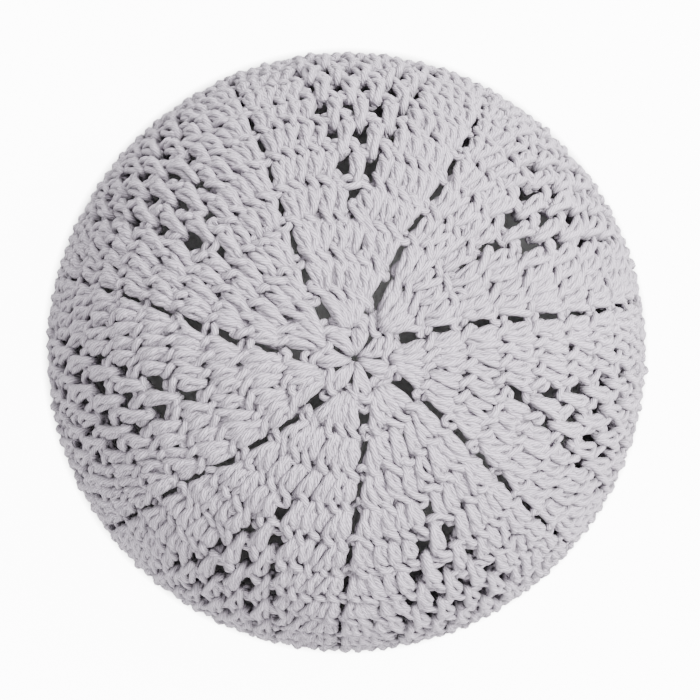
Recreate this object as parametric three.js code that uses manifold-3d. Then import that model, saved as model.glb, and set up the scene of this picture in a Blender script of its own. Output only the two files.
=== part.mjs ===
// A crocheted skull cap, worked in one piece in a spiral of rounds from the crown down to the rim.
// Seven ladders of eyelets run down from the crown, with a widening wedge of lace gaps between each two.
// Millimetres, +Z up. The rim stands in the plane Z = 0 and the crown's centre is on the Z axis.
import * as THREE from 'three';
import { mergeVertices } from 'three/addons/utils/BufferGeometryUtils.js';
import Module from 'manifold-3d';

// Form of the cap. The squareness is the exponent of its profile: 2 is an ellipse, more is squarer.
const outerRadius = 92;
const capHeight = 82;
const squareness = 2.4;
const wall = 3.5;

// Rounds of tall stitches, each a soft rib, and one low edging round at the rim
const roundCount = 12;
const edgingHeight = 6;
const ribDepth = 0.8;
const crownHoleRadius = 1.3;

// The spiral's seam, and how far its rounds lean over between the outer rounds and the crown
const seamAngle = 62;
const swirlAngle = 19.5;
const swirlRoundCount = 7.5;
const swirlPower = 2.3;

// Ladders: one upright eyelet in each round from the first to the last one named here
const ladderCount = 7;
const firstLadderRound = 2;
const lastCutRound = 8;
const eyeletLength = 6.2;
const eyeletWidth = 3;

// Lace: one gap more in each round, two stitches apart, in the middle between the ladders
const firstLaceRound = 5;
const laceLength = 4.4;
const laceWidth = 3.9;
const stitchesPerLaceGap = 2;

// How finely the faces are laid
const facesPerSector = 8;
const innerRows = 10;
const gapSides = 6;
const mergeTolerance = 1e-4;
const toolDepth = 4 * wall;

// Shares of a round at which the outside has a point, and how far out of the groove it stands there
const ribShape = [
  { along: 0, out: 0 },
  { along: 0.5, out: 1 },
];

const wasm = await Module();
wasm.setup();

// The profile of the cap's outside, from the crown's centre (t = 0) to the rim (t = 1), as radius and height.
class CapProfile extends THREE.Curve {
  getPoint(t, target = new THREE.Vector2()) {
    const angle = (t * Math.PI) / 2;
    const power = 2 / squareness;
    const radius = outerRadius * Math.abs(Math.sin(angle)) ** power;
    const height = capHeight * Math.abs(Math.cos(angle)) ** power;
    return target.set(t === 0 ? 0 : radius, t === 1 ? 0 : height);
  }
}

const profile = new CapProfile();
profile.arcLengthDivisions = 600;
const clothLength = profile.getLength();
const roundHeight = (clothLength - edgingHeight) / roundCount;

// A place on the profile at a distance from the crown's centre, and the directions down the cloth and out of it.
function onProfile(distance) {
  const share = THREE.MathUtils.clamp(distance / clothLength, 0, 1);
  const point = profile.getPointAt(share);
  const down = profile.getTangentAt(share);
  if (share === 1) down.set(0, -1);
  const out = new THREE.Vector2(-down.y, down.x);
  return { point, down, out };
}

// The same place moved straight out of the cloth, or into it where the offset is negative.
function offsetPoint(distance, offset) {
  const { point, out } = onProfile(distance);
  return point.addScaledVector(out, offset);
}

function outsideRow(start, length) {
  return ribShape.map(({ along, out }) => offsetPoint(start + along * length, ribDepth * (out - 1)));
}

// The closed section that is turned round the Z axis: ribbed outside, flat rim and smooth inside.
function clothSection() {
  const outside = [];
  for (let round = 0; round < roundCount; round += 1) {
    outside.push(...outsideRow(round * roundHeight, roundHeight));
  }
  outside.push(...outsideRow(clothLength - edgingHeight, edgingHeight));
  outside[0].x = crownHoleRadius;
  outside.push(new THREE.Vector2(outerRadius, 0));
  const inside = [];
  for (let row = innerRows; row >= 0; row -= 1) {
    inside.push(offsetPoint((clothLength * row) / innerRows, -wall));
  }
  inside.at(-1).x = crownHoleRadius;
  return [...outside, ...inside, outside[0].clone()];
}

// A closed mesh as a solid, with its shared corners merged.
function solidFrom(geometry) {
  const bare = geometry.clone();
  bare.deleteAttribute('normal');
  bare.deleteAttribute('uv');
  const merged = mergeVertices(bare, mergeTolerance);
  const vertProperties = Float32Array.from(merged.getAttribute('position').array);
  const triVerts = Uint32Array.from(merged.getIndex().array);
  return new wasm.Manifold(new wasm.Mesh({ numProp: 3, vertProperties, triVerts }));
}

function geometryFrom(solid) {
  const { vertProperties, triVerts } = solid.getMesh();
  const geometry = new THREE.BufferGeometry();
  geometry.setAttribute('position', new THREE.BufferAttribute(vertProperties, 3));
  geometry.setIndex(new THREE.BufferAttribute(triVerts, 1));
  return geometry;
}

function clothBody() {
  const lathe = new THREE.LatheGeometry(clothSection().reverse(), ladderCount * facesPerSector);
  return solidFrom(lathe.rotateX(Math.PI / 2));
}

// The rounds are one spiral: they rise half a round after the seam and half a round before it.
function spiralRise(sectors) {
  const afterSeam = Math.min(sectors, 1) - 1;
  const beforeSeam = Math.max(sectors - (ladderCount - 1), 0);
  return (afterSeam + beforeSeam) / 2;
}

// Nearer the crown the stitches lie turned forward, by an angle that fades out down the cap.
function swirlAt(rounds) {
  return swirlAngle * Math.max(1 - rounds / swirlRoundCount, 0) ** swirlPower;
}

// The tool that opens one gap: a small prism straight through the cloth.
function gapTool(sectors, round, length, width) {
  const rounds = round - 0.5 + spiralRise(sectors);
  const angle = THREE.MathUtils.degToRad(seamAngle + (360 * sectors) / ladderCount + swirlAt(rounds));
  const { point, down, out } = onProfile(rounds * roundHeight);
  const turned = (radial, height) => {
    return new THREE.Vector3(radial * Math.cos(angle), radial * Math.sin(angle), height);
  };
  const across = new THREE.Vector3(-Math.sin(angle), Math.cos(angle), 0);
  const outward = turned(out.x, out.y);
  const downward = turned(down.x, down.y);
  const place = new THREE.Matrix4().makeBasis(across, outward, downward);
  place.setPosition(turned(point.x, point.y));
  const prism = new THREE.CylinderGeometry(0.5, 0.5, 1, gapSides);
  prism.scale(width, toolDepth, length);
  return solidFrom(prism.applyMatrix4(place));
}

function ladderTools() {
  const tools = [];
  for (let ladder = 0; ladder < ladderCount; ladder += 1) {
    for (let round = firstLadderRound; round <= lastCutRound; round += 1) {
      tools.push(gapTool(ladder, round, eyeletLength, eyeletWidth));
    }
  }
  return tools;
}

function laceTools() {
  const tools = [];
  for (let sector = 0; sector < ladderCount; sector += 1) {
    for (let round = firstLaceRound; round <= lastCutRound; round += 1) {
      const gaps = round - firstLaceRound + 1;
      const stitchesPerSector = 2 * round + 1;
      const step = stitchesPerLaceGap / stitchesPerSector;
      for (let gap = 0; gap < gaps; gap += 1) {
        const place = sector + 0.5 + (gap - (gaps - 1) / 2) * step;
        tools.push(gapTool(place, round, laceLength, laceWidth));
      }
    }
  }
  return tools;
}

function crochetedCap() {
  let cloth = clothBody();
  for (const tool of [...ladderTools(), ...laceTools()]) {
    cloth = cloth.subtract(tool);
  }
  const yarn = new THREE.MeshStandardMaterial({ color: 0xd2cfd5, roughness: 0.92, metalness: 0 });
  const mesh = new THREE.Mesh(geometryFrom(cloth), yarn);
  mesh.name = 'crocheted_cap';
  return mesh;
}

const kufi = new THREE.Group();
kufi.add(crochetedCap());

export default kufi;
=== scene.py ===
import math
from collections import namedtuple

import bpy
import numpy as np
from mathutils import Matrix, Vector


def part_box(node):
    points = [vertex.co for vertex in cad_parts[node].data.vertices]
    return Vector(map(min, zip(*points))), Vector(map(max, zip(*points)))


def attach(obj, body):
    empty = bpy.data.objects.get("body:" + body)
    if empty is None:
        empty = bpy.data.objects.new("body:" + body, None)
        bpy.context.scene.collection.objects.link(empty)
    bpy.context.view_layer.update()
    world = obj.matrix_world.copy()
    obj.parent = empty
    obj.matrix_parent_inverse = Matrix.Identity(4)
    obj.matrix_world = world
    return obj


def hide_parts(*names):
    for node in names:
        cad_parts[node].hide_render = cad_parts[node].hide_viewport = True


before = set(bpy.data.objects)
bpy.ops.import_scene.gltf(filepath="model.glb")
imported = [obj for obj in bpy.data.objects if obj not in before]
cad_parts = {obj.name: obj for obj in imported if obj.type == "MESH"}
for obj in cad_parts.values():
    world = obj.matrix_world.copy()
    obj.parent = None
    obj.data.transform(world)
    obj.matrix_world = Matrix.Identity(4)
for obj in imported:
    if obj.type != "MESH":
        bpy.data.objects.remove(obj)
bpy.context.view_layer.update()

rng = np.random.default_rng(7)

# The crown
# The cap is one soft cotton yarn, crocheted in a spiral of rounds from the crown down. A small ring of
# yarn holds the seven tall stitches of the first round. Three rounds fan out from them, close and solid
# but for the eyelets of the ladders, and the fifth opens the first gap of each wedge of lace.

# The form is the same as the solid's: a place on it is so many rounds down from the crown's centre, and so
# many of the seven sectors between ladders round from the seam.
low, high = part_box("crocheted_cap")
outer_radius = (high.x - low.x) / 2
cap_height = high.z - low.z
squareness = 2.4
cloth_middle = 0.0021
tall_rounds = 12
edging_height = 0.006
ladders = 7
seam_angle = math.radians(62)
swirl_angle = math.radians(19.5)
swirl_rounds = 7.5
swirl_power = 2.3

dome_turn = np.linspace(0, math.pi / 2, 4001)
dome_radius = outer_radius * np.sin(dome_turn) ** (2 / squareness)
dome_height = cap_height * np.abs(np.cos(dome_turn)) ** (2 / squareness)
dome_height[-1] = 0
dome_step = np.hypot(np.diff(dome_radius), np.diff(dome_height))
dome_length = np.concatenate([[0], np.cumsum(dome_step)])
round_height = (dome_length[-1] - edging_height) / tall_rounds
dome_out = np.stack([-np.gradient(dome_height), np.gradient(dome_radius)], axis=1)
dome_out /= np.linalg.norm(dome_out, axis=1)[:, None]


def on_cloth(rounds, sectors, lift):
    """Places on the cloth, each with the direction out of it and its lift out of the cloth's middle."""
    distance = np.asarray(rounds) * round_height
    radius = np.interp(distance, dome_length, dome_radius)
    height = np.interp(distance, dome_length, dome_height)
    out_radial = np.interp(distance, dome_length, dome_out[:, 0])
    out_up = np.interp(distance, dome_length, dome_out[:, 1])
    past_rim = np.maximum(distance - dome_length[-1], 0)
    swirl = swirl_angle * np.clip(1 - rounds / swirl_rounds, 0, 1) ** swirl_power
    angle = seam_angle + 2 * math.pi * np.asarray(sectors) / ladders + swirl
    off = lift - cloth_middle
    radius = radius + off * out_radial
    place = [radius * np.cos(angle), radius * np.sin(angle), height - past_rim + off * out_up]
    out = [out_radial * np.cos(angle), out_radial * np.sin(angle), out_up]
    lift_everywhere = lift + 0 * radius
    return np.stack([*place, *out, lift_everywhere], axis=-1)


def spiral_rise(sectors):
    """How far the spiral has moved on, in rounds, from half a round back at the seam to half a round on."""
    return (np.minimum(sectors, 1) - 1 + np.maximum(sectors - (ladders - 1), 0)) / 2


# The yarn: soft, loosely twisted cotton, a little over two millimetres across and pressed flat where it
# lies. A round of stitches is one long path of it, and swells and thins a little along the way. The cloth
# that it makes is four of its radii deep.
yarn_radius = 0.00108
flatness = 0.82
raised_swell = 0.26
raised_swell_limits = (-0.4, 0.5)
# Painted shade: a strand that lies low keeps at most this share of its full colour, and every strand less
# on its flanks.
low_strand_painted_openness = 0.45
cloth_depth = 4
any_slant = (0.3, 0.5, 0.8)
uneven_length = 0.006
unevenness = 0.035
tube_sides = 6
yarn_step = 0.00160
bend_step = 0.0009
curve_steps = 9
strips_margin = 0.05
rings_per_strip = 170


def smooth_path(points):
    """A smooth path through the points, stepped more finely where it bends, and the length along it."""
    ahead = 2 * points[-1] - points[-2]
    behind = 2 * points[0] - points[1]
    extended = np.vstack([behind, points, ahead])
    before, start, end, after = (extended[i:i + len(points) - 1][:, None, :] for i in range(4))
    t = (np.arange(curve_steps) / curve_steps)[None, :, None]
    curve = 0.5 * (
        2 * start
        + (end - before) * t
        + (2 * before - 5 * start + 4 * end - after) * t**2
        + (3 * start - before - 3 * end + after) * t**3
    )
    curve = np.vstack([curve.reshape(-1, points.shape[1]), points[-1]])
    step = np.linalg.norm(np.diff(curve[:, :3], axis=0), axis=1)
    heading = np.diff(curve[:, :3], axis=0) / step[:, None]
    bend = np.linalg.norm(np.diff(heading, axis=0, prepend=heading[:1]), axis=1)
    effort = np.concatenate([[0], np.cumsum(step + bend_step * bend)])
    even = np.linspace(0, effort[-1], max(int(effort[-1] / yarn_step), 2))
    path = np.stack([np.interp(even, effort, column) for column in curve.T], axis=1)
    along = np.interp(even, effort, np.concatenate([[0], np.cumsum(step)]))
    return path, along


def tube_rings(path, swell):
    """Rings of points round the path, and each point's share of full colour against painted shade.

    Strands that stand up are thicker. Flanks, and strands that lie low, get more painted shade, the shade
    that falls between and under strands.
    """
    place, out, lift = path[:, :3], path[:, 3:6], path[:, 6]
    heading = np.gradient(place, axis=0)
    heading /= np.linalg.norm(heading, axis=1)[:, None]
    side = np.cross(heading[0], any_slant)
    sides = np.empty_like(place)
    for i, ahead in enumerate(heading):
        side = side - ahead * (ahead @ side)
        side = side / math.sqrt(side @ side)
        sides[i] = side
    other = np.cross(heading, sides)
    turn = 2 * math.pi * np.arange(tube_sides) / tube_sides
    ring = sides[:, None] * np.cos(turn)[:, None] + other[:, None] * np.sin(turn)[:, None]
    raised = np.clip(lift / yarn_radius, *raised_swell_limits)
    radius = yarn_radius * swell * (1 + raised_swell * raised)
    ring = ring * radius[:, None, None]
    away = np.einsum("rsk,rk->rs", ring, out)
    ring -= (1 - flatness) * away[..., None] * out[:, None]
    facing = away / radius[:, None]
    height = np.clip(0.5 + np.sign(facing) * lift[:, None] / (cloth_depth * yarn_radius), 0, 1)
    painted_shade_openness = np.abs(facing) * (low_strand_painted_openness + (1 - low_strand_painted_openness) * height)
    return place[:, None] + ring, painted_shade_openness


def tube_faces(first, count):
    """The four corners of each face of a tube whose points start at a number."""
    around = np.arange(tube_sides)
    ring = first + tube_sides * np.arange(count - 1)[:, None]
    here, beside = ring + around, ring + (around + 1) % tube_sides
    return np.stack([here, beside, beside + tube_sides, here + tube_sides], axis=-1).reshape(-1, 4)


def sheet_corners(first_ring, count, all_rings):
    """The faces laid out side by side in strips, so that no two share a place on the picture."""
    around = np.arange(tube_sides)
    strips = math.ceil(all_rings / rings_per_strip)
    ring = first_ring + np.arange(count - 1)
    column = (ring % rings_per_strip)[:, None] + 0.0 * around
    strip = (ring // rings_per_strip)[:, None] + 0.0 * around
    left, right = column / rings_per_strip, (column + 1) / rings_per_strip
    inside = 1 - 2 * strips_margin
    bottom = (strip + strips_margin + inside * around / tube_sides) / strips
    top = (strip + strips_margin + inside * (around + 1) / tube_sides) / strips
    return np.stack([left, bottom, left, top, right, top, right, bottom], axis=-1).reshape(-1, 2)


def ply_corners(along):
    """The faces laid out by metres along the yarn and turns round it, for its plies."""
    around = np.arange(tube_sides)
    here, ahead = along[:-1, None] + 0.0 * around, along[1:, None] + 0.0 * around
    near, far = (around + 0 * here) / tube_sides, (around + 1 + 0 * here) / tube_sides
    return np.stack([here, near, here, far, ahead, far, ahead, near], axis=-1).reshape(-1, 2)


def yarn_piece(name, runs):
    """One mesh of yarn from several runs of places, dressed over the cap's cloth."""
    vertices, painted_shade_openness, faces, plies, counts = [], [], [], [], []
    for points in runs:
        path, along = smooth_path(points)
        knots = np.arange(0, along[-1] + uneven_length, uneven_length)
        swell = np.interp(along, knots, 1 + rng.normal(0, unevenness, len(knots)))
        rings, painted_shade_open_share = tube_rings(path, swell)
        faces.append(tube_faces(tube_sides * sum(counts), len(path)))
        vertices.append(rings.reshape(-1, 3))
        painted_shade_openness.append(painted_shade_open_share.ravel())
        plies.append(ply_corners(along))
        counts.append(len(path))
    sheet = [sheet_corners(sum(counts[:i]), count, sum(counts)) for i, count in enumerate(counts)]
    mesh = bpy.data.meshes.new(name)
    points, corners = np.concatenate(vertices), np.concatenate(faces)
    mesh.vertices.add(len(points))
    mesh.vertices.foreach_set("co", points.astype(np.float32).ravel())
    mesh.loops.add(corners.size)
    mesh.loops.foreach_set("vertex_index", corners.astype(np.int32).ravel())
    mesh.polygons.add(len(corners))
    mesh.polygons.foreach_set("loop_start", np.arange(0, corners.size, 4, dtype=np.int32))
    mesh.polygons.foreach_set("use_smooth", np.ones(len(corners), dtype=bool))
    mesh.update(calc_edges=True)
    for map_name, places in (("OFBake", sheet), ("plies", plies)):
        layer = mesh.uv_layers.new(name=map_name)
        layer.data.foreach_set("uv", np.concatenate(places).astype(np.float32).ravel())
    # Each point's share of full colour against painted shade, read by the material.
    layer = mesh.attributes.new("painted_shade_openness", "FLOAT", "POINT")
    layer.data.foreach_set("value", np.concatenate(painted_shade_openness).astype(np.float32))
    mesh.validate()
    mesh.materials.append(cotton)
    piece = bpy.data.objects.new(name, mesh)
    bpy.context.scene.collection.objects.link(piece)
    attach(piece, "root")
    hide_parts("crocheted_cap")


# The cotton: light grey with a cool tint, matt and a little fuzzy. Eight fine plies turn slowly round the
# yarn, uneven in place, with fibres drawn out along them. Shade is painted into its colour in the grooves
# between the plies and in the creases between and under strands.
ply_count = 8
ply_turn_length = 0.014
wander_per_metre = 420
wander_around = 9
ply_wander = 1.2
ply_roundness = 0.6
fibres_per_metre = 500
fibres_per_ply = 1.6
fibre_relief = 0.9
relief_depth = 0.00033
# How strongly the plies and fibres lift the colour out of the painted shade of the grooves.
painted_groove_shade_share = 0.62
# Where the colour is all painted shade, and where it is all full colour.
shaded_openness = 0.05
lit_openness = 0.75
tint_patches_per_metre = 55.0
darker_tint = (0.655, 0.582, 0.680, 1)
paler_tint = (0.760, 0.678, 0.786, 1)
# The painted shade in the grooves between plies.
painted_groove_shade_colour = (0.34, 0.305, 0.353, 1)
# The painted shade in the creases between strands and under them.
painted_crease_shade_colour = (0.23, 0.212, 0.24, 1)

cotton = bpy.data.materials.new("soft_grey_cotton")
cotton.use_nodes = True
nodes, links = cotton.node_tree.nodes, cotton.node_tree.links
shader = nodes["Principled BSDF"]
shader.inputs["Roughness"].default_value = 0.88
shader.inputs["Specular IOR Level"].default_value = 0.25
shader.inputs["Sheen Weight"].default_value = 0.25
shader.inputs["Sheen Roughness"].default_value = 0.6


def calculated(operation, *values):
    """The result of one operation on numbers or other nodes' outputs."""
    node = nodes.new("ShaderNodeMath")
    node.operation = operation
    for socket, value in zip(node.inputs, values):
        if isinstance(value, (int, float)):
            socket.default_value = value
        else:
            links.new(value, socket)
    return node.outputs[0]


def cloudy(place, scale, detail, roughness=0.5):
    """A soft random value at each place."""
    noise = nodes.new("ShaderNodeTexNoise")
    noise.inputs["Scale"].default_value = scale
    noise.inputs["Detail"].default_value = detail
    noise.inputs["Roughness"].default_value = roughness
    links.new(place, noise.inputs["Vector"])
    return noise.outputs["Fac"]


def place_from(along, around):
    """A place from a distance along the yarn and one round it."""
    place = nodes.new("ShaderNodeCombineXYZ")
    links.new(along, place.inputs["X"])
    links.new(around, place.inputs["Y"])
    return place.outputs[0]


def blended(share, low_colour, high_colour):
    """The colour between two, each a fixed one or another node's output."""
    mix = nodes.new("ShaderNodeMix")
    mix.data_type = "RGBA"
    # The node has sockets for numbers and directions too, so those for colours go by their places.
    first_colour, second_colour, mixed_colour = mix.inputs[6], mix.inputs[7], mix.outputs[2]
    links.new(share, mix.inputs["Factor"])
    for socket, colour in ((first_colour, low_colour), (second_colour, high_colour)):
        if isinstance(colour, tuple):
            socket.default_value = colour
        else:
            links.new(colour, socket)
    return mixed_colour


ply_map = nodes.new("ShaderNodeUVMap")
ply_map.uv_map = "plies"
split = nodes.new("ShaderNodeSeparateXYZ")
links.new(ply_map.outputs["UV"], split.inputs[0])
along_yarn, round_yarn = split.outputs["X"], split.outputs["Y"]

twisted = calculated("MULTIPLY", along_yarn, ply_count / ply_turn_length)
ply_place = calculated("ADD", twisted, calculated("MULTIPLY", round_yarn, ply_count))
wander_place = place_from(
    calculated("MULTIPLY", along_yarn, wander_per_metre), calculated("MULTIPLY", round_yarn, wander_around)
)
wander = cloudy(wander_place, scale=1.0, detail=2.0)
ply_place = calculated("ADD", ply_place, calculated("MULTIPLY", wander, ply_wander))
ply_wave = calculated("ABSOLUTE", calculated("SINE", calculated("MULTIPLY", ply_place, math.pi)))
ply_height = calculated("POWER", ply_wave, ply_roundness)

fibre_place = place_from(
    calculated("MULTIPLY", along_yarn, fibres_per_metre), calculated("MULTIPLY", ply_place, fibres_per_ply)
)
fibres = cloudy(fibre_place, scale=1.0, detail=3.0, roughness=0.65)
relief = calculated("ADD", ply_height, calculated("MULTIPLY", fibres, fibre_relief))
bump = nodes.new("ShaderNodeBump")
bump.inputs["Distance"].default_value = relief_depth
links.new(relief, bump.inputs["Height"])
links.new(bump.outputs["Normal"], shader.inputs["Normal"])

where = nodes.new("ShaderNodeNewGeometry")
patches = cloudy(where.outputs["Position"], scale=tint_patches_per_metre, detail=2.0)
tint = blended(patches, darker_tint, paler_tint)
# Painted shade in the grooves between plies, with random tone from the fibres: the colour darkens where the
# relief is low.
ply_top = calculated(
    "ADD", calculated("MULTIPLY", ply_height, painted_groove_shade_share), calculated("MULTIPLY", fibres, painted_groove_shade_share)
)
# Painted shade: the flanks of strands and the strands that lie low are darkened towards a deep grey, where
# shade falls between them.
painted_shade_openness_read = nodes.new("ShaderNodeAttribute")
painted_shade_openness_read.attribute_name = "painted_shade_openness"
painted_shade_open_share = nodes.new("ShaderNodeMapRange")
painted_shade_open_share.inputs["From Min"].default_value = shaded_openness
painted_shade_open_share.inputs["From Max"].default_value = lit_openness
links.new(painted_shade_openness_read.outputs["Fac"], painted_shade_open_share.inputs["Value"])
colour = blended(painted_shade_open_share.outputs[0], painted_crease_shade_colour, blended(ply_top, painted_groove_shade_colour, tint))
links.new(colour, shader.inputs["Base Color"])

# The stitches: in a tall one the yarn wraps behind, a loop is drawn up through the round before, a second
# crosses it, and the third lies over towards the next stitch, so that the tops make a plait. Each place
# is to the side in stitch widths (+ is back along the round), up the round, and out in yarn radii.
tall_wrap = [
    (0.16, 1.0, -0.8), (0.42, 0.90, -0.7), (0.48, 0.68, -0.8), (0.22, 0.46, -0.8),
    (-0.26, 0.36, -0.8), (-0.46, 0.20, -0.7), (-0.40, 0.02, -0.6),
]
tall_drawn_loop = [
    (-0.07, -0.07, -0.5), (-0.10, 0.06, 0.7), (-0.20, 0.25, 1.2), (-0.31, 0.46, 1.3), (-0.37, 0.65, 1.0),
    (-0.24, 0.82, 0.3), (0.02, 0.88, -0.4), (0.28, 0.81, 0.2), (0.38, 0.64, 0.9), (0.31, 0.44, 1.1),
    (0.20, 0.24, 1.0), (0.09, 0.05, 0.5), (0.05, -0.07, -0.6),
]
tall_crossing_loop = [
    (0.20, 0.08, -0.6), (0.24, 0.23, 0.6), (0.11, 0.43, 1.6), (-0.09, 0.61, 1.7), (-0.22, 0.76, 1.0),
    (-0.08, 0.86, -0.3),
]
tall_plait_loop = [
    (0.16, 0.75, -0.7), (0.20, 0.77, 0.5), (0.0, 0.86, 1.5), (-0.30, 0.98, 1.7), (-0.58, 1.10, 1.2),
    (-0.69, 1.18, 0.5), (-0.50, 1.25, 0.7), (-0.18, 1.22, 0.6), (0.02, 1.12, -0.3), (-0.20, 1.04, -0.8),
    (-0.50, 1.02, -0.8),
]
chain_loop = [
    (0.14, 0.88, -0.7), (0.22, 0.80, 0.3), (-0.05, 0.76, 1.0), (-0.45, 0.80, 1.25), (-0.82, 0.91, 0.8),
    (-0.98, 1.02, 0.0), (-0.78, 1.07, 0.6), (-0.40, 1.06, 0.7), (-0.02, 1.00, 0.1), (-0.08, 0.96, -0.9),
    (-0.50, 0.96, -1.3),
]
stitch_shapes = {
    "tall": tall_wrap + tall_drawn_loop + tall_crossing_loop + tall_plait_loop,
    "chain": chain_loop,
}

# How far each stitch tucks under the one beside it, in yarn radii, and how broad its loops lie. How far a
# stitch that stands in an open space of the round before reaches down over it, and how broad it lies there.
# Each has its usual value, and another in the rounds that are named.
usual_tuck = 0.4
tuck = {1: 0.2, 2: 0.5}
usual_breadth = 1.0
breadth = {1: 0.88}
usual_space_drop = 0.31
space_drop = {6: 0.10, 7: 0.24}
usual_space_breadth = 1.25
space_breadth = {6: 1.0, 7: 1.0, 8: 1.0}
space_stand_out = 1.0
foot_height = 0.3

# A round ends at its own number down from the crown and rises with the spiral in full, if it isn't named
# here. The end of the first is wavy, and lies further out over each of its tall stitches.
round_ends = {0: 0.22, 1: 0.99}
spiral_shares = {0: 0.0, 1: 0.4}
first_round_wave = 0.12
rim_margin = 1.35
lowest_yarn = (dome_length[-1] - rim_margin * yarn_radius) / round_height


def level(boundary, sectors):
    """Where a round ends, in rounds down from the crown, at a place along the spiral."""
    end = round_ends.get(boundary, boundary) + spiral_shares.get(boundary, 1.0) * spiral_rise(sectors)
    if boundary == 1:
        end = end + first_round_wave * np.cos(2 * math.pi * sectors)
    return end


# Hand work differs from stitch to stitch: how broad it is, each bend to the side, its slope, its lean, how
# far it and each bend stand out, each bend up, its height, and its place along the round.
breadth_spread = 0.07
side_spread = 0.045
slope_spread = 0.11
lean_spread = 0.15
out_spread = 0.20
up_spread = 0.022
height_spread = 0.04
place_spread = 0.05


def worked(kind, turn, foot, head, pitch, foot_pitch, drop, broad):
    """The yarn's places on the cloth for one stitch, each stitch a little different as hand work is."""
    side, up, out = np.array(stitch_shapes[kind]).T
    count = len(side)
    side = side * broad * (1 + rng.normal(0, breadth_spread)) + rng.normal(0, side_spread, count)
    up = up + side * rng.normal(0, slope_spread)
    side = side + (up - 0.5) * rng.normal(0, lean_spread)
    out = out + rng.normal(0, out_spread, count) + rng.normal(0, out_spread)
    out = out + tuck.get(turn, usual_tuck) * np.sign(side)
    up = up + rng.normal(0, up_spread, count) + rng.normal(0, height_spread) * np.clip(up, 0, 1)
    rise = np.clip(up, 0, 1)
    width = foot_pitch + (pitch - foot_pitch) * rise
    sectors = foot + (head - foot) * rise - side * width
    bottom, top = level(turn - 1, sectors), level(turn, sectors)
    at_foot = np.clip(1 - up / foot_height, 0, 1)
    if drop:
        out = out + space_stand_out * at_foot * (out > 0)
    rounds = bottom + (top - bottom) * (up - drop * at_foot)
    return on_cloth(np.minimum(rounds, lowest_yarn), sectors, out * yarn_radius)


# A stitch of a round: its kind, where its top is along the round, its width, and what it stands in
Stitch = namedtuple("Stitch", "kind place width foot")
chain_share = 0.66
petal_width = 0.76


def ring_plan(turn):
    """The first round: in each sector one tall stitch in the ring, and a chain."""
    return [("tall", petal_width, ("ring", 0)), ("chain", 1 - petal_width, None)]


def fan_plan(turn):
    """A solid round: a chain over the ladder, then two more tall stitches than the round before.

    The first and the last tall stitch of the round before each hold two.
    """
    count = 2 * turn
    width = 1 / (count + chain_share)
    if turn == 2:
        feet = [("petal space", number) for number in range(count)]
    else:
        feet = [("tall", number) for number in (0, *range(count - 2), count - 3)]
    return [("chain", chain_share * width, None)] + [("tall", width, foot) for foot in feet]


def tall_count(plan):
    """How many tall stitches a sector of a round has."""
    return sum(kind == "tall" for kind, width, foot in plan)


# How much wider than a stitch's share the posts of the lace are, and how much narrower the open chains
usual_post_extra = 0.36
post_extra = {5: -0.1, 6: 0.08, 7: 0.2, 8: 0.3}
first_lace_round = 5
last_lace_round = 11
last_lace_stitches = 21.75


def lace_plan(turn):
    """A lace round: solid beside the ladders, with open chains and single posts between.

    The tall stitch next to each ladder holds two, except in the last round, which isn't widened.
    """
    gaps = turn - first_lace_round + 1
    last = turn == last_lace_round
    beside = [0, 1, 2, 3] if last else [0, 0, 1, 2, 3]
    lace_width = 1 / last_lace_stitches if last else 1 / (2 * turn + 1)
    extra = post_extra.get(turn, usual_post_extra)
    solid_width = (1 - (2 * gaps - 1 - extra) * lace_width) / (2 * len(beside) + chain_share)
    before = fan_plan(turn - 1) if turn == first_lace_round else lace_plan(turn - 1)
    last_tall = tall_count(before) - 1
    plan = [("chain", chain_share * solid_width, None)]
    plan += [("tall", solid_width, ("tall", number)) for number in beside]
    for gap in range(gaps):
        plan.append(("chain", (1 - extra) * lace_width, None))
        if gap < gaps - 1:
            plan.append(("tall", (1 + extra) * lace_width, ("space", gap)))
    plan += [("tall", solid_width, ("tall", last_tall - number)) for number in reversed(beside)]
    return plan


def sector_stitches(plan, sector):
    """The stitches of one sector of a round, with the place of each top along the round."""
    place = sector
    stitches = []
    for number, (kind, width, foot) in enumerate(plan):
        if number:
            place += width / 2
        stitches.append(Stitch(kind, place + rng.normal(0, place_spread) * width, width, foot))
        place += width / 2
    return stitches


# Feet: how wide a stitch spreads where it stands, as a share of its width, and how far it reaches down over
# what it stands in (+) or keeps off it (-). How far apart the four stand that fan out of one space of the
# first round. How far two lean apart that share a foot, or that stand beside the first gap of the lace.
ring_foot_spread = 1.3
space_foot_spread = 0.85
tall_foot_spread = 0.9
petal_space_drop = -0.12
petal_space_step = 0.135
petal_space_middle = 1.5
chain_drop = 0.16
shared_foot_lean = 0.24
first_gap_lean = 0.32
first_gap_feet = (3, 4)


def foot_place(turn, stitch, beside, before):
    """Where a stitch stands in the round before, how wide it spreads there, and how far it reaches down."""
    stands_in, number = stitch.foot
    if stands_in == "ring":
        return stitch.place, ring_foot_spread * stitch.width, 0.0
    talls = [row for row in before if row.kind != "chain"]
    spaces = [row for row in before[1:] if row.kind == "chain"]
    if stands_in == "petal space":
        fanned = (number - petal_space_middle) * petal_space_step
        return spaces[0].place + fanned, space_foot_spread * stitch.width, petal_space_drop
    if stands_in == "space":
        drop = space_drop.get(turn, usual_space_drop)
        return spaces[number].place, space_foot_spread * stitch.width, drop
    if stands_in == "any":
        drop = chain_drop if before[number].kind == "chain" else 0.0
        return before[number].place, stitch.width, drop
    shared = [row for row in beside if row.foot == stitch.foot]
    lean = 0.0
    if len(shared) == 2:
        lean = -shared_foot_lean if stitch is shared[0] else shared_foot_lean
    if turn == first_lace_round and number in first_gap_feet:
        lean = -first_gap_lean if number == first_gap_feet[0] else first_gap_lean
    return talls[number].place + lean * stitch.width, tall_foot_spread * talls[number].width, 0.0


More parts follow.
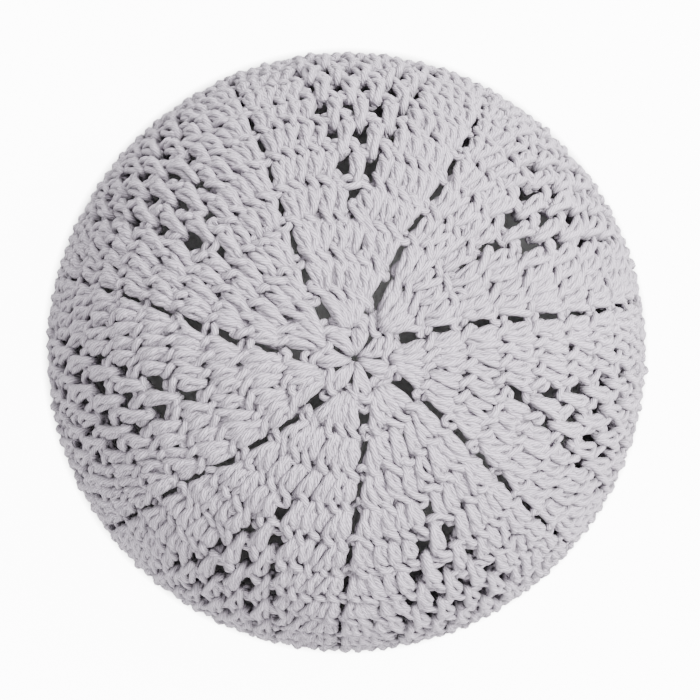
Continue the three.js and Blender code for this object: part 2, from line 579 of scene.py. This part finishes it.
def work_round(turn, plan, before):
    """The yarn's places in one round, and its stitches for the next round to stand in."""
    sectors = [sector_stitches(plan, sector) for sector in range(ladders)]
    runs = []
    for sector, stitches in enumerate(sectors):
        once_round = (sector + 1) // ladders
        after_last = sectors[(sector + 1) % ladders][0].place + once_round * ladders
        heads = [row.place for row in stitches] + [after_last]
        for number, stitch in enumerate(stitches):
            pitch = heads[number + 1] - stitch.place
            foot, foot_pitch, drop = stitch.place, pitch, 0.0
            broad = breadth.get(turn, usual_breadth)
            if stitch.foot:
                foot, foot_pitch, drop = foot_place(turn, stitch, stitches, before and before[sector])
                if stitch.foot[0] == "space":
                    broad = space_breadth.get(turn, usual_space_breadth)
            runs.append(worked(stitch.kind, turn, foot, stitch.place, pitch, foot_pitch, drop, broad))
    return np.concatenate(runs), sectors


def work_rounds(turns, plan_of, before):
    """The yarn of several rounds, each worked into the one before."""
    runs = []
    for turn in turns:
        run, before = work_round(turn, plan_of(turn), before)
        runs.append(run)
    return runs, before


# The start ring is two turns of the yarn under the feet of the first round.
ring_turns = 2
ring_bends = 60
ring_size = 0.19
ring_gain = 0.03
ring_lift = -0.9
ring_sectors = np.linspace(0, ring_turns * ladders, ring_bends)
ring_rounds = ring_size + ring_gain * ring_sectors / ladders
start_ring = on_cloth(ring_rounds, ring_sectors, ring_lift * yarn_radius + 0 * ring_sectors)
petal_runs, worked_rows = work_rounds([1], ring_plan, None)
fan_runs, worked_rows = work_rounds([2, 3, 4], fan_plan, worked_rows)
first_gap_runs, worked_rows = work_rounds([5], lace_plan, worked_rows)
yarn_piece("crown_yarn", [start_ring, *petal_runs, *fan_runs, *first_gap_runs])

# The upper lace
# The same yarn goes on round the cap. In each of these rounds one gap more is left open in the middle
# between two ladders, and a single tall stitch stands in each open space of the round before.

upper_lace_runs, worked_rows = work_rounds([6, 7], lace_plan, worked_rows)
yarn_piece("upper_lace_yarn", upper_lace_runs)

# The lower lace
# The wedges of lace widen on where the cap turns down to its side. It is the same yarn and the same
# stitch, and from the ninth round on the loops of the lace's posts lie broader.

lower_lace_runs, worked_rows = work_rounds([8, 9], lace_plan, worked_rows)
yarn_piece("lower_lace_yarn", lower_lace_runs)

# The side
# The last two lace rounds run straight down the side in the same yarn. The spiral starts to level out
# here, so that the rim can be finished even all round.

spiral_shares[11] = 0.5
side_runs, worked_rows = work_rounds([10, 11], lace_plan, worked_rows)
yarn_piece("side_yarn", side_runs)

# The rim
# One solid round of tall stitches and one edging round of low ones close the side. They are worked in
# the same yarn, level all round, and the cap stands on the edging.

rim_stitches = 22
edging_round = tall_rounds + 1
edging_margin = 1.1
round_ends[edging_round] = tall_rounds + (edging_height - edging_margin * yarn_radius) / round_height
spiral_shares[tall_rounds] = 0.0
spiral_shares[edging_round] = 0.0
stitch_shapes["low"] = [
    (0.10, 0.80, -0.8), (-0.20, 0.30, -0.9), (-0.14, -0.15, -0.5), (-0.20, -0.08, 0.5), (-0.22, 0.35, 1.0),
    (0.0, 0.62, 0.6), (0.24, 0.35, 1.0), (0.18, -0.08, 0.5), (0.10, -0.10, -0.7), (0.05, 0.4, -0.7),
    (0.10, 0.62, 0.3), (-0.10, 0.78, 1.1), (-0.50, 0.90, 1.1), (-0.92, 0.98, 0.5), (-1.05, 0.96, -0.4),
    (-0.80, 0.92, -0.9), (-0.50, 0.88, -0.9),
]


def rim_plan(turn):
    """A solid round with one stitch in each place of the round before."""
    kind = "tall" if turn == tall_rounds else "low"
    return [(kind, 1 / rim_stitches, ("any", number)) for number in range(rim_stitches)]


rim_runs, worked_rows = work_rounds([tall_rounds, edging_round], rim_plan, worked_rows)
yarn_piece("rim_yarn", rim_runs)

# The floor
# A plain matt mid-grey table that glows round the cap, a painted light as it is no lamp, and is left plain
# under it, so that the lace shows dark. Where it is seen straight, not by its light on the yarn, its glow
# is stronger, to a full white.

floor_half = 7.0
glow_edge = 0.003
seen_white = 8.0
floor_mesh = bpy.data.meshes.new("floor")
floor_corners = [(x * floor_half, y * floor_half, 0) for x, y in ((-1, -1), (1, -1), (1, 1), (-1, 1))]
floor_mesh.from_pydata(floor_corners, [], [(0, 1, 2, 3)])
floor = bpy.data.objects.new("floor", floor_mesh)
bpy.context.scene.collection.objects.link(floor)
table = bpy.data.materials.new("glowing_white_table")
table.use_nodes = True
table_nodes, table_links = table.node_tree.nodes, table.node_tree.links
table_shader = table_nodes["Principled BSDF"]
table_shader.inputs["Base Color"].default_value = (0.36, 0.36, 0.36, 1)
table_shader.inputs["Roughness"].default_value = 0.9
table_shader.inputs["Emission Strength"].default_value = 1.3
table_place = table_nodes.new("ShaderNodeNewGeometry")
from_middle = table_nodes.new("ShaderNodeVectorMath")
from_middle.operation = "LENGTH"
table_links.new(table_place.outputs["Position"], from_middle.inputs[0])
# The painted glow: full outside the cap's outline, none under it.
glow_round_cap = table_nodes.new("ShaderNodeMapRange")
glow_round_cap.inputs["From Min"].default_value = outer_radius
glow_round_cap.inputs["From Max"].default_value = outer_radius + glow_edge
table_links.new(from_middle.outputs["Value"], glow_round_cap.inputs["Value"])
seen_by = table_nodes.new("ShaderNodeLightPath")
brighter = table_nodes.new("ShaderNodeMath")
brighter.operation = "MULTIPLY_ADD"
brighter.inputs[1].default_value = seen_white
brighter.inputs[2].default_value = 1.0
table_links.new(seen_by.outputs["Is Camera Ray"], brighter.inputs[0])
glow = table_nodes.new("ShaderNodeMath")
glow.operation = "MULTIPLY"
table_links.new(glow_round_cap.outputs[0], glow.inputs[0])
table_links.new(brighter.outputs[0], glow.inputs[1])
table_links.new(glow.outputs[0], table_shader.inputs["Emission Color"])
floor_mesh.materials.append(table)

# The studio light
# Soft light from all round, a strong soft lamp up on the right, and weaker ones on the other sides.

world = bpy.data.worlds.new("studio")
bpy.context.scene.world = world
world.use_nodes = True
world.node_tree.nodes["Background"].inputs["Color"].default_value = (0.97, 0.98, 1.0, 1)
world.node_tree.nodes["Background"].inputs["Strength"].default_value = 0.32


def studio_light(name, place, size, power):
    """A round soft lamp turned to the cap."""
    lamp = bpy.data.lights.new(name, "AREA")
    lamp.shape = "DISK"
    lamp.size = size
    lamp.energy = power
    light = bpy.data.objects.new(name, lamp)
    light.location = place
    light.rotation_euler = (-Vector(place)).to_track_quat("-Z", "Y").to_euler()
    bpy.context.scene.collection.objects.link(light)


studio_light("right_light", (0.85, 0.35, 0.95), size=0.5, power=42)
studio_light("top_light", (0.05, 0.95, 0.75), size=0.7, power=9)
studio_light("left_light", (-0.95, -0.05, 0.75), size=0.7, power=5)
studio_light("near_light", (0.10, -0.95, 0.75), size=0.7, power=10.5)

# The camera
# Almost straight above the cap, and as far off as shows its outline at the photograph's place and size.

photo_size = 700
cap_width_in_photo = 600.5
outline_centre_in_photo = (348, 353)
camera_distance = 0.96
camera_tilt = math.radians(2.4)
camera_side = math.radians(143.13)
widest_height = 0.018
sensor = 36.0

pixel = 2 * outer_radius / cap_width_in_photo
to_camera = np.array([
    math.sin(camera_tilt) * math.cos(camera_side),
    math.sin(camera_tilt) * math.sin(camera_side),
    math.cos(camera_tilt),
])
aim_point = np.array([
    (photo_size / 2 - outline_centre_in_photo[0]) * pixel,
    (outline_centre_in_photo[1] - photo_size / 2) * pixel,
    widest_height,
])
camera_data = bpy.data.cameras.new("photo_camera")
camera_data.sensor_width = sensor
camera_data.lens = sensor * camera_distance / (photo_size * pixel)
camera = bpy.data.objects.new("photo_camera", camera_data)
camera.location = aim_point + camera_distance * to_camera
camera.rotation_euler = (math.asin(-to_camera[1]), math.asin(to_camera[0]), 0)
bpy.context.scene.collection.objects.link(camera)
bpy.context.scene.camera = camera
